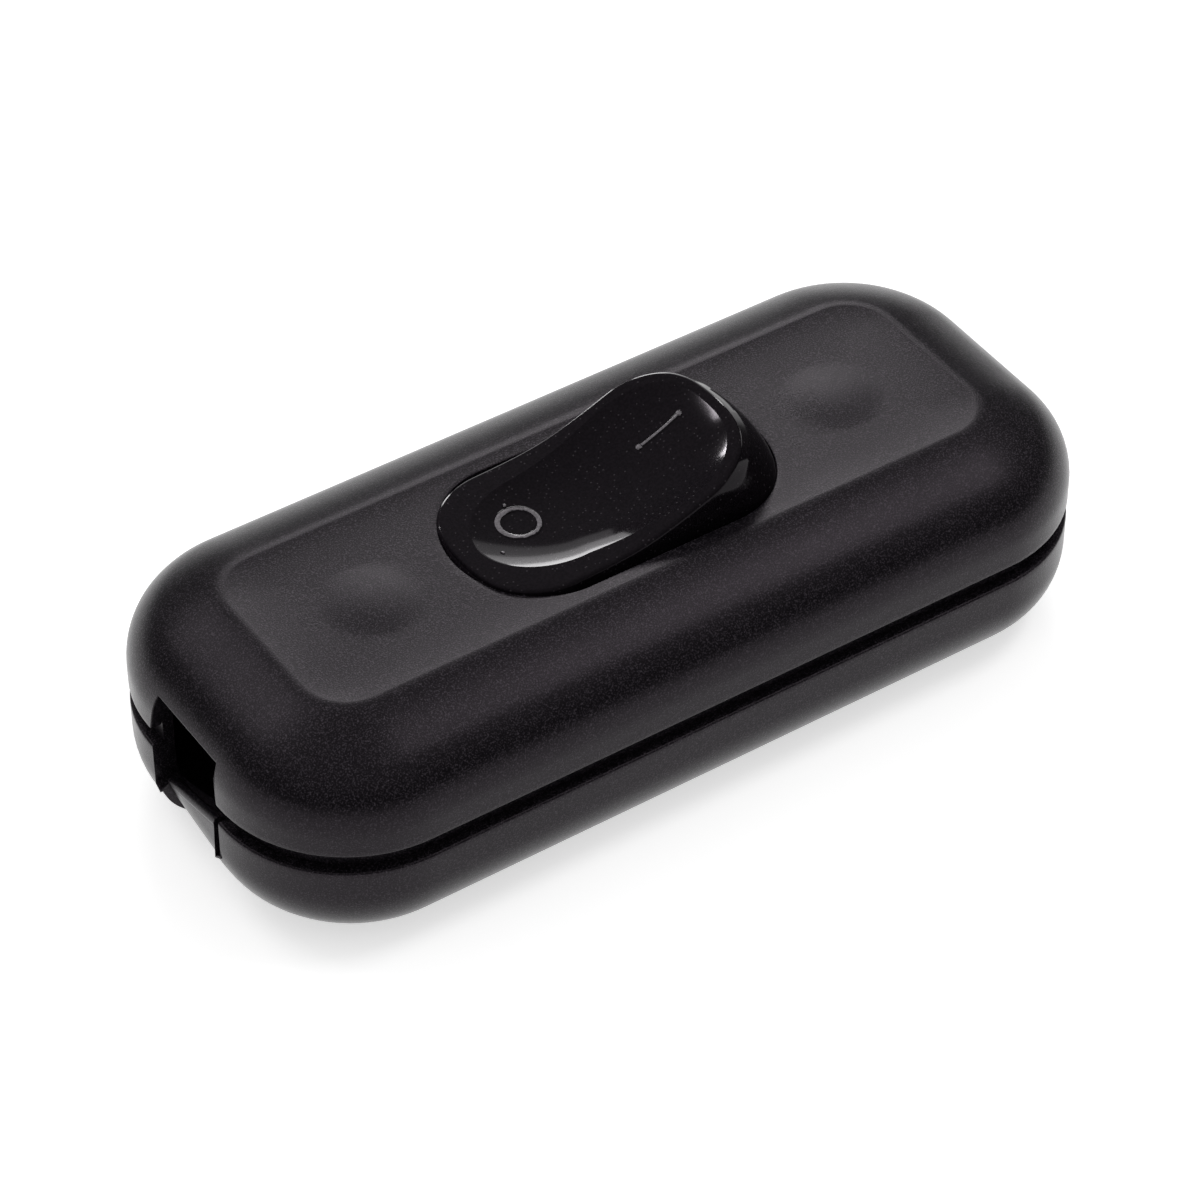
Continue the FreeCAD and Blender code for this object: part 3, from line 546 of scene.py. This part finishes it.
def rockerBody(size):
    # dish from its middle out, rim land, soft rim, wall, skirt, inner wall and roof
    shares = np.concatenate([[0.0], np.linspace(0.12, 0.9, 14), [0.94, 0.97, 0.985, 1.0]])
    rings = [dishRing(size, share) for share in shares]
    rim = rimRing(size)
    out = outwardOf(rim)
    soft = size["rimSoftness"]
    landEdge = rim.copy()
    landEdge[:, :2] -= out * soft
    landEdge[:, 2] = rimHeight(size, landEdge[:, 0])
    crease = rings[-1]
    for share in (0.06, 0.2, 0.4, 0.6, 0.8, 1.0):
        ring = crease + (landEdge - crease) * share
        ring[:, 2] = rimHeight(size, ring[:, 0])
        rings.append(ring)
    for turn in np.radians([18, 36, 54, 72, 86]):
        ring = rim.copy()
        ring[:, :2] -= out * soft * (1 - np.sin(turn))
        ring[:, 2] = rimHeight(size, ring[:, 0]) - soft * (1 - np.cos(turn))
        rings.append(ring)
    startZ = rings[-1][:, 2]
    for share in np.linspace(0, 1, 13)[1:]:
        z = startZ + (size["skirt"] - startZ) * share
        full = size["cornerFullness"] * np.exp(-((startZ - z) / size["cornerFade"]) ** 2)
        rings.append(rockerRing(size, z, 0, full))
    flatZ = size["skirt"] + 0 * startZ
    roofRise = size["pivotDepth"] + size["rise"] - size["dishDepth"] - size["wall"] - size["skirt"]
    for share, chamfer in ((0, 0), (0.6, 0), (1, 0.3)):
        rings.append(rockerRing(size, flatZ + roofRise * share, size["wall"] + chamfer))
    for share in (0.5, 0.0):
        rings.append(rings[-1] * np.array([share, share, 1.0]))
    return (np.stack(rings), False, True)


def raisedLine(size, path, across, halfWidth, rise, closed):
    # a low rounded band that follows the finger surface, let into it
    spread = np.linspace(-1, 1, 13)
    crown = rise * (1 - spread ** 2)
    section = np.concatenate([spread, [1.0, -1.0]])
    lift = np.concatenate([crown, [-size["markDepth"]] * 2])
    x = path[:, None, 0] + across[:, None, 0] * section * halfWidth[:, None]
    y = path[:, None, 1] + across[:, None, 1] * section * halfWidth[:, None]
    base = fingerHeight(size, path[:, 0], path[:, 1])[:, None]
    return (np.stack([x, y, base + lift * (halfWidth[:, None] > tiny)], -1), closed, True)


def dome(size, place, radius, rise):
    # a low round bump on the finger surface
    turn = np.linspace(0, 2 * np.pi, 20, endpoint=False)
    lift = np.array([rise, rise * 0.9, rise * 0.6, 0.0, -size["markDepth"], -size["markDepth"]])[:, None]
    spread = np.array([0.0, 0.45, 0.8, 1.0, 1.0, 0.0])[:, None] * radius
    x = place[0] + spread * np.cos(turn)
    y = place[1] + spread * np.sin(turn)
    return (np.stack([x, y, fingerHeight(size, place[0], place[1]) + lift + 0 * x], -1), False, True)


def rockerMarks(size):
    # off ring, on bar with its two end dots, and two small nubs beside the ring
    turn = np.linspace(0, 2 * np.pi, 72, endpoint=False)
    outward = np.stack([np.cos(turn), np.sin(turn)], -1)
    ringPath = np.array(size["ringPlace"]) + size["ringRadius"] * outward
    pieces = [raisedLine(size, ringPath, outward, size["ringHalfWidth"] + 0 * turn, size["markRise"], True)]
    along = np.linspace(-1, 1, 24) * size["barHalfLength"]
    barPath = np.stack([size["barPlace"][0] + along, size["barPlace"][1] + size["barSlope"] * along], -1)
    side = np.stack([0 * along, 1 + 0 * along], -1)
    width = np.full(len(along), size["barHalfWidth"])
    width[[0, -1]] = 0
    pieces.append(raisedLine(size, barPath, side, width, size["markRise"], False))
    for place in barPath[[0, -1]]:
        pieces.append(dome(size, place, size["dotRadius"], size["markRise"] * size["dotRise"]))
    for place in size["nubPlaces"]:
        pieces.append(dome(size, place, size["nubRadius"], size["markRise"]))
    return pieces


def rockerFittings(size):
    # trunnions, their cheeks and the two plunger sleeves
    pieces = []
    cheek, inner, outer = size["cheekRadius"], size["sleeveInner"], size["sleeveOuter"]
    bottom, top = size["sleeveLow"], size["sleeveTop"]
    for hand in (-1, 1):
        near, far = sorted((hand * size["trunnionNear"], hand * size["trunnionFar"]))
        pieces.append(crossRod((0, near, 0), (0, far, 0), size["trunnionRadius"]))
        near, far = sorted((hand * size["cheekNear"], hand * size["cheekFar"]))
        pieces.append(crossRod((0, near, 0), (0, far, 0), cheek, 40))
        pieces.append(plainBlock(-cheek, cheek, near, far, 0, size["cheekTop"]))
        sleeve = [(inner, bottom), (outer, bottom), (outer, top), (inner, top)]
        pieces.append((turnedRing(0, hand * size["sleevePlace"], sleeve), True, True))
    return pieces


def tilted(size, patches):
    # turned about the pivot line, with the off end down
    a = math.radians(-size["tilt"])
    turned = []
    for grid, wrapRows, wrapColumns in patches:
        x, y, z = grid[..., 0], grid[..., 1], grid[..., 2]
        height = housing["pivotHeight"] - x * math.sin(a) + z * math.cos(a)
        turned.append((np.stack([x * math.cos(a) + z * math.sin(a), y, height], -1), wrapRows, wrapColumns))
    return turned


def paintedHighlightFaces(piece, size):
    # 1 on the marks' crowns, the faces that stand proud by most of the marks' rise, and 0 elsewhere; the
    # faces marked 1 get a painted highlight
    centres = np.zeros(len(piece.data.polygons) * 3)
    piece.data.polygons.foreach_get("center", centres)
    x, y, z = centres.reshape(-1, 3).T / mm
    z = z - housing["pivotHeight"]
    a = math.radians(size["tilt"])
    x, z = x * math.cos(a) + z * math.sin(a), z * math.cos(a) - x * math.sin(a)
    proud = z - fingerHeight(size, x, y) > size["markCrown"] * size["markRise"]
    inDish = dishReach(size, x, y) < size["markLimit"]
    return np.where(inDish & proud, 1, 0)


print("rocker")
rockerPatches = [rockerBody(rocker)] + rockerMarks(rocker) + rockerFittings(rocker)
rockerPiece = surfaceMesh("rockerSurface", tilted(rocker, rockerPatches), 17)
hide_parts("rocker")
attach(rockerPiece, "rocker_body")


# materials

def fieldGroup(name, inputs, outputs):
    # a node group with number inputs and their defaults, and outputs of the given kinds
    group = bpy.data.node_groups.new(name, "ShaderNodeTree")
    for label, value in inputs.items():
        socket = group.interface.new_socket(label, in_out="INPUT", socket_type="NodeSocketFloat")
        socket.default_value = value
    for label, kind in outputs.items():
        group.interface.new_socket(label, in_out="OUTPUT", socket_type=kind)
    return group, group.nodes.new("NodeGroupInput"), group.nodes.new("NodeGroupOutput")


def addNode(tree, kind, **settings):
    # a new node; settings that start with in_ go to the input of that name
    node = tree.nodes.new(kind)
    for key, value in settings.items():
        if key.startswith("in_"):
            node.inputs[key[3:].replace("_", " ")].default_value = value
        else:
            setattr(node, key, value)
    return node


def grainGroup():
    # fine moulded grain: a fine noise as a normal and as a speckle mask, and a coarse noise as a cloud mask
    group, given, made = fieldGroup(
        "mouldGrain", {"Scale": 6000.0, "Strength": 0.3, "Distance": 0.00003},
        {"Normal": "NodeSocketVector", "Speckle": "NodeSocketFloat", "Cloud": "NodeSocketFloat"})
    place = addNode(group, "ShaderNodeTexCoord")
    fine = addNode(group, "ShaderNodeTexNoise", in_Detail=2.0, in_Roughness=0.6)
    cloud = addNode(group, "ShaderNodeTexNoise", in_Scale=90.0, in_Detail=3.0)
    bump = addNode(group, "ShaderNodeBump")
    link = group.links.new
    link(place.outputs["Object"], fine.inputs["Vector"])
    link(place.outputs["Object"], cloud.inputs["Vector"])
    link(given.outputs["Scale"], fine.inputs["Scale"])
    for label in ("Strength", "Distance"):
        link(given.outputs[label], bump.inputs[label])
    link(fine.outputs["Fac"], bump.inputs["Height"])
    link(bump.outputs["Normal"], made.inputs["Normal"])
    link(fine.outputs["Fac"], made.inputs["Speckle"])
    link(cloud.outputs["Fac"], made.inputs["Cloud"])
    return group


def dustGroup():
    # sparse pale specks: the cores of a few cells, picked by their random colour
    group, given, made = fieldGroup(
        "dustSpecks", {"Scale": 1500.0, "Size": 0.12, "Amount": 0.3}, {"Mask": "NodeSocketFloat"})
    place = addNode(group, "ShaderNodeTexCoord")
    cells = addNode(group, "ShaderNodeTexVoronoi")
    near = addNode(group, "ShaderNodeMath", operation="LESS_THAN")
    split = addNode(group, "ShaderNodeSeparateColor")
    pick = addNode(group, "ShaderNodeMath", operation="LESS_THAN")
    both = addNode(group, "ShaderNodeMath", operation="MULTIPLY")
    link = group.links.new
    link(place.outputs["Object"], cells.inputs["Vector"])
    link(given.outputs["Scale"], cells.inputs["Scale"])
    link(cells.outputs["Distance"], near.inputs[0])
    link(given.outputs["Size"], near.inputs[1])
    link(cells.outputs["Color"], split.inputs["Color"])
    link(split.outputs["Red"], pick.inputs[0])
    link(given.outputs["Amount"], pick.inputs[1])
    link(near.outputs[0], both.inputs[0])
    link(pick.outputs[0], both.inputs[1])
    link(both.outputs[0], made.inputs["Mask"])
    return group


mouldGrain = grainGroup()
dustSpecks = dustGroup()


def setInputs(node, values):
    # default values by the names of the inputs
    for label, value in values.items():
        node.inputs[label].default_value = value


def finish(name, look):
    # colour runs between two tones with the speckle, dust is laid on top, roughness moves with the cloud
    material = bpy.data.materials.new(name)
    material.use_nodes = True
    tree = material.node_tree
    shader = tree.nodes["Principled BSDF"]
    grain = addNode(tree, "ShaderNodeGroup", node_tree=mouldGrain)
    dust = addNode(tree, "ShaderNodeGroup", node_tree=dustSpecks)
    tones = addNode(tree, "ShaderNodeMix", data_type="RGBA")
    dusty = addNode(tree, "ShaderNodeMix", data_type="RGBA")
    rough = addNode(tree, "ShaderNodeMapRange")
    sharp = addNode(tree, "ShaderNodeMapRange")
    setInputs(shader, {"Metallic": look.get("metal", 0.0), "Specular IOR Level": look.get("shine", 0.5),
                       "Specular Tint": (*look.get("tint", (1, 1, 1)), 1)})
    setInputs(grain, {"Scale": look["grainScale"], "Strength": look["grainStrength"],
                      "Distance": look.get("grainDistance", 0.00003)})
    setInputs(dust, {"Scale": look.get("dustScale", 1500.0), "Amount": look.get("dustAmount", 0.0),
                     "Size": look.get("dustSize", 0.12)})
    setInputs(tones, {"A": (*look["dark"], 1), "B": (*look["light"], 1)})
    setInputs(dusty, {"B": (*look.get("dust", (0.2, 0.2, 0.2)), 1)})
    cloudLow, cloudHigh = 0.3, 0.7
    setInputs(rough, {"From Min": cloudLow, "From Max": cloudHigh,
                      "To Min": look["rough"][0], "To Max": look["rough"][1]})
    speckLow, speckHigh = look.get("tones", (0.4, 0.6))
    setInputs(sharp, {"From Min": speckLow, "From Max": speckHigh})
    link = tree.links.new
    link(grain.outputs["Speckle"], sharp.inputs["Value"])
    link(sharp.outputs["Result"], tones.inputs["Factor"])
    link(tones.outputs["Result"], dusty.inputs["A"])
    link(dust.outputs["Mask"], dusty.inputs["Factor"])
    link(dusty.outputs["Result"], shader.inputs["Base Color"])
    link(grain.outputs["Cloud"], rough.inputs["Value"])
    link(rough.outputs["Result"], shader.inputs["Roughness"])
    link(grain.outputs["Normal"], shader.inputs["Normal"])
    return material


print("materials")
smoothBlack = {"grainScale": 5000.0, "grainStrength": 0.02, "grainDistance": 0.00001}
metal = {"metal": 1.0, "grainScale": 2500.0, "grainStrength": 0.1}
looks = {
    "shellBlack": {"dark": (0.003, 0.0025, 0.0035), "light": (0.060, 0.052, 0.062), "rough": (0.27, 0.31),
                   "shine": 0.14, "tint": (1.0, 0.86, 0.98), "tones": (0.5, 0.72),
                   "grainScale": 8500.0, "grainStrength": 0.8, "grainDistance": 0.00002},
    "rockerBlack": {"dark": (0.004, 0.003, 0.0042), "light": (0.0075, 0.0058, 0.0077), "rough": (0.08, 0.12),
                    "shine": 0.08, "tint": (1.0, 0.9, 1.0), "dust": (0.035, 0.031, 0.035),
                    "dustAmount": 0.45, "dustSize": 0.2, "dustScale": 3000.0, **smoothBlack},
    # a pale grey on the marks' crowns in place of their glints: painted highlight
    "markPaintedHighlight": {"dark": (0.12, 0.11, 0.12), "light": (0.19, 0.175, 0.19), "rough": (0.22, 0.3),
                  "shine": 0.3, **smoothBlack},
    "plungerWhite": {"dark": (0.62, 0.60, 0.54), "light": (0.70, 0.68, 0.62), "rough": (0.35, 0.45),
                     "grainScale": 3000.0, "grainStrength": 0.1},
    "contactBrass": {**metal, "dark": (0.42, 0.27, 0.08), "light": (0.6, 0.42, 0.16),
                     "rough": (0.28, 0.42)},
    "contactCopper": {**metal, "dark": (0.45, 0.18, 0.07), "light": (0.62, 0.28, 0.13),
                      "rough": (0.28, 0.4)},
    "contactSilver": {**metal, "dark": (0.55, 0.55, 0.54), "light": (0.72, 0.72, 0.7),
                      "rough": (0.18, 0.3), "grainStrength": 0.08},
    "springSteel": {**metal, "dark": (0.3, 0.3, 0.31), "light": (0.45, 0.45, 0.46), "rough": (0.25, 0.35)},
    "screwSteel": {**metal, "dark": (0.42, 0.43, 0.44), "light": (0.58, 0.59, 0.60), "rough": (0.25, 0.4)},
}
finishes = {name: finish(name, look) for name, look in looks.items()}
slotFinish = {
    "shell_black": "shellBlack", "rocker_black": "rockerBlack", "plunger_white": "plungerWhite",
    "contact_brass": "contactBrass", "contact_copper": "contactCopper", "contact_silver": "contactSilver",
    "spring_steel": "springSteel", "screw_steel": "screwSteel",
}
for subpart in frame["record"]["subparts"]:
    node = frame["nodes"][subpart["node"]]
    material = finishes[slotFinish[subpart["material_slot"]]]
    if not node.material_slots:
        node.data.materials.append(material)
    for place in node.material_slots:
        place.material = material
for piece, name in ((upperPiece, "shellBlack"), (lowerPiece, "shellBlack"), (rockerPiece, "rockerBlack")):
    piece.data.materials.append(finishes[name])
# the marks' crowns take the pale grey painted highlight material
rockerPiece.data.materials.append(finishes["markPaintedHighlight"])
rockerPiece.data.polygons.foreach_set("material_index", paintedHighlightFaces(rockerPiece, rocker))


# floor, surroundings, lamps and camera

stage = {
    "floorSize": 6.0, "floorTone": 0.9, "floorToCamera": 0.6, "floorToGloss": 1.0,
    "lowSky": 0.12, "highSky": 0.6, "skyFrom": 0.3, "skyTo": 0.8, "lampDistance": 1.2, "lampAim": 0.009,
}
print("stage")
floorMesh = bpy.data.meshes.new("floorSheet")
reachOut = stage["floorSize"] / 2
floorCorners = [(x * reachOut, y * reachOut, 0) for x, y in ((-1, -1), (1, -1), (1, 1), (-1, 1))]
floorMesh.from_pydata(floorCorners, [], [(0, 1, 2, 3)])
floor = bpy.data.objects.new("floorSheet", floorMesh)
bpy.context.collection.objects.link(floor)


def paintFloor():
    # pale paint that takes the shadow, lifted to white for the camera and for reflections
    paint = bpy.data.materials.new("floorPaint")
    paint.use_nodes = True
    tree = paint.node_tree
    shader = tree.nodes["Principled BSDF"]
    setInputs(shader, {"Base Color": (stage["floorTone"],) * 3 + (1,), "Roughness": 1.0,
                       "Specular IOR Level": 0.0, "Emission Color": (1, 1, 1, 1)})
    ray = addNode(tree, "ShaderNodeLightPath")
    toCamera = addNode(tree, "ShaderNodeMath", operation="MULTIPLY")
    toCamera.inputs[1].default_value = stage["floorToCamera"]
    both = addNode(tree, "ShaderNodeMath", operation="MULTIPLY_ADD")
    both.inputs[1].default_value = stage["floorToGloss"]
    tree.links.new(ray.outputs["Is Camera Ray"], toCamera.inputs[0])
    tree.links.new(ray.outputs["Is Glossy Ray"], both.inputs[0])
    tree.links.new(toCamera.outputs[0], both.inputs[2])
    tree.links.new(both.outputs[0], shader.inputs["Emission Strength"])
    return paint


floorMesh.materials.append(paintFloor())


def studioSky():
    # a dim sky that is darker low down, and plain white for the camera
    world = bpy.data.worlds.new("studio")
    world.use_nodes = True
    tree = world.node_tree
    shine = tree.nodes["Background"]
    shine.inputs["Color"].default_value = (1, 1, 1, 1)
    ray = addNode(tree, "ShaderNodeLightPath")
    pick = addNode(tree, "ShaderNodeMix", data_type="FLOAT")
    pick.inputs["B"].default_value = 1.0
    place = addNode(tree, "ShaderNodeTexCoord")
    split = addNode(tree, "ShaderNodeSeparateXYZ")
    rise = addNode(tree, "ShaderNodeMapRange", interpolation_type="SMOOTHSTEP")
    setInputs(rise, {"From Min": stage["skyFrom"], "From Max": stage["skyTo"],
                     "To Min": stage["lowSky"], "To Max": stage["highSky"]})
    tree.links.new(place.outputs["Generated"], split.inputs["Vector"])
    tree.links.new(split.outputs["Z"], rise.inputs["Value"])
    tree.links.new(rise.outputs["Result"], pick.inputs["A"])
    tree.links.new(ray.outputs["Is Camera Ray"], pick.inputs["Factor"])
    tree.links.new(pick.outputs["Result"], shine.inputs["Strength"])
    return world


renderScene.world = studioSky()


def facing(place, back):
    # the matrix of a camera or lamp at a place, with its back turned to the given direction
    side = np.cross([0, 0, 1], back)
    side = side / np.linalg.norm(side)
    turned = np.stack([side, np.cross(back, side), back, place], -1)
    return Matrix(np.vstack([turned, [0, 0, 0, 1]]).tolist())


def areaLamp(name, turn, height, width, depth, power):
    # a rectangle that faces the switch; turn runs about Z from +X and height up from the floor, in degrees
    lamp = bpy.data.lights.new(name, "AREA")
    lamp.shape = "RECTANGLE"
    lamp.size, lamp.size_y, lamp.energy = width, depth, power
    lampObject = bpy.data.objects.new(name, lamp)
    bpy.context.collection.objects.link(lampObject)
    turn, height = math.radians(turn), math.radians(height)
    level = math.cos(height)
    back = np.array([level * math.cos(turn), level * math.sin(turn), math.sin(height)])
    place = back * stage["lampDistance"] + np.array([0, 0, stage["lampAim"]])
    lampObject.matrix_world = facing(place, back)
    return lampObject


lampSet = {
    "lampBack": {"turn": 59, "height": 32, "width": 0.45, "depth": 0.3, "power": 2.8},
    "lampFront": {"turn": -17, "height": 61, "width": 0.4, "depth": 0.25, "power": 2.2},
    "lampLeft": {"turn": 114, "height": 50, "width": 0.5, "depth": 0.5, "power": 2.0},
}
rockerLights = {
    "shineBackLow": {"turn": 54, "height": 7, "width": 0.8, "depth": 0.2, "power": 7.0},
    "shineBackMiddle": {"turn": 52, "height": 17, "width": 0.9, "depth": 0.2, "power": 3.2},
    "shineBackHigh": {"turn": 50, "height": 27, "width": 0.9, "depth": 0.2, "power": 1.1},
    "shineFarRim": {"turn": 92, "height": 5, "width": 0.6, "depth": 0.18, "power": 6.0},
    "shineCreaseFar": {"turn": 132, "height": 35, "width": 0.26, "depth": 0.06, "power": 3.0},
    "shineCreaseNear": {"turn": 108, "height": 25, "width": 0.16, "depth": 0.08, "power": 4.0},
}
# the glossy rocker is shielded from the main lamps and has strips of its own
onlyRocker = bpy.data.collections.new("onlyRocker")
allButRocker = bpy.data.collections.new("allButRocker")
onlyRocker.objects.link(rockerPiece)
allButRocker.objects.link(rockerPiece)
allButRocker.collection_objects[0].light_linking.link_state = "EXCLUDE"
for name, values in lampSet.items():
    areaLamp(name, **values).light_linking.receiver_collection = allButRocker
for name, values in rockerLights.items():
    areaLamp(name, **values).light_linking.receiver_collection = onlyRocker

view = {"place": (-138.61, -206.02, 236.51), "aim": (-0.89, -0.27, 8.24), "lens": 137.19, "sensor": 36.0}
camera = bpy.data.cameras.new("photoCamera")
camera.lens, camera.sensor_width, camera.sensor_fit = view["lens"], view["sensor"], "HORIZONTAL"
camera.clip_start, camera.clip_end = 0.01, 20.0
cameraObject = bpy.data.objects.new("photoCamera", camera)
bpy.context.collection.objects.link(cameraObject)
place, aim = np.array(view["place"]) * mm, np.array(view["aim"]) * mm
cameraObject.matrix_world = facing(place, (place - aim) / np.linalg.norm(place - aim))
renderScene.camera = cameraObject
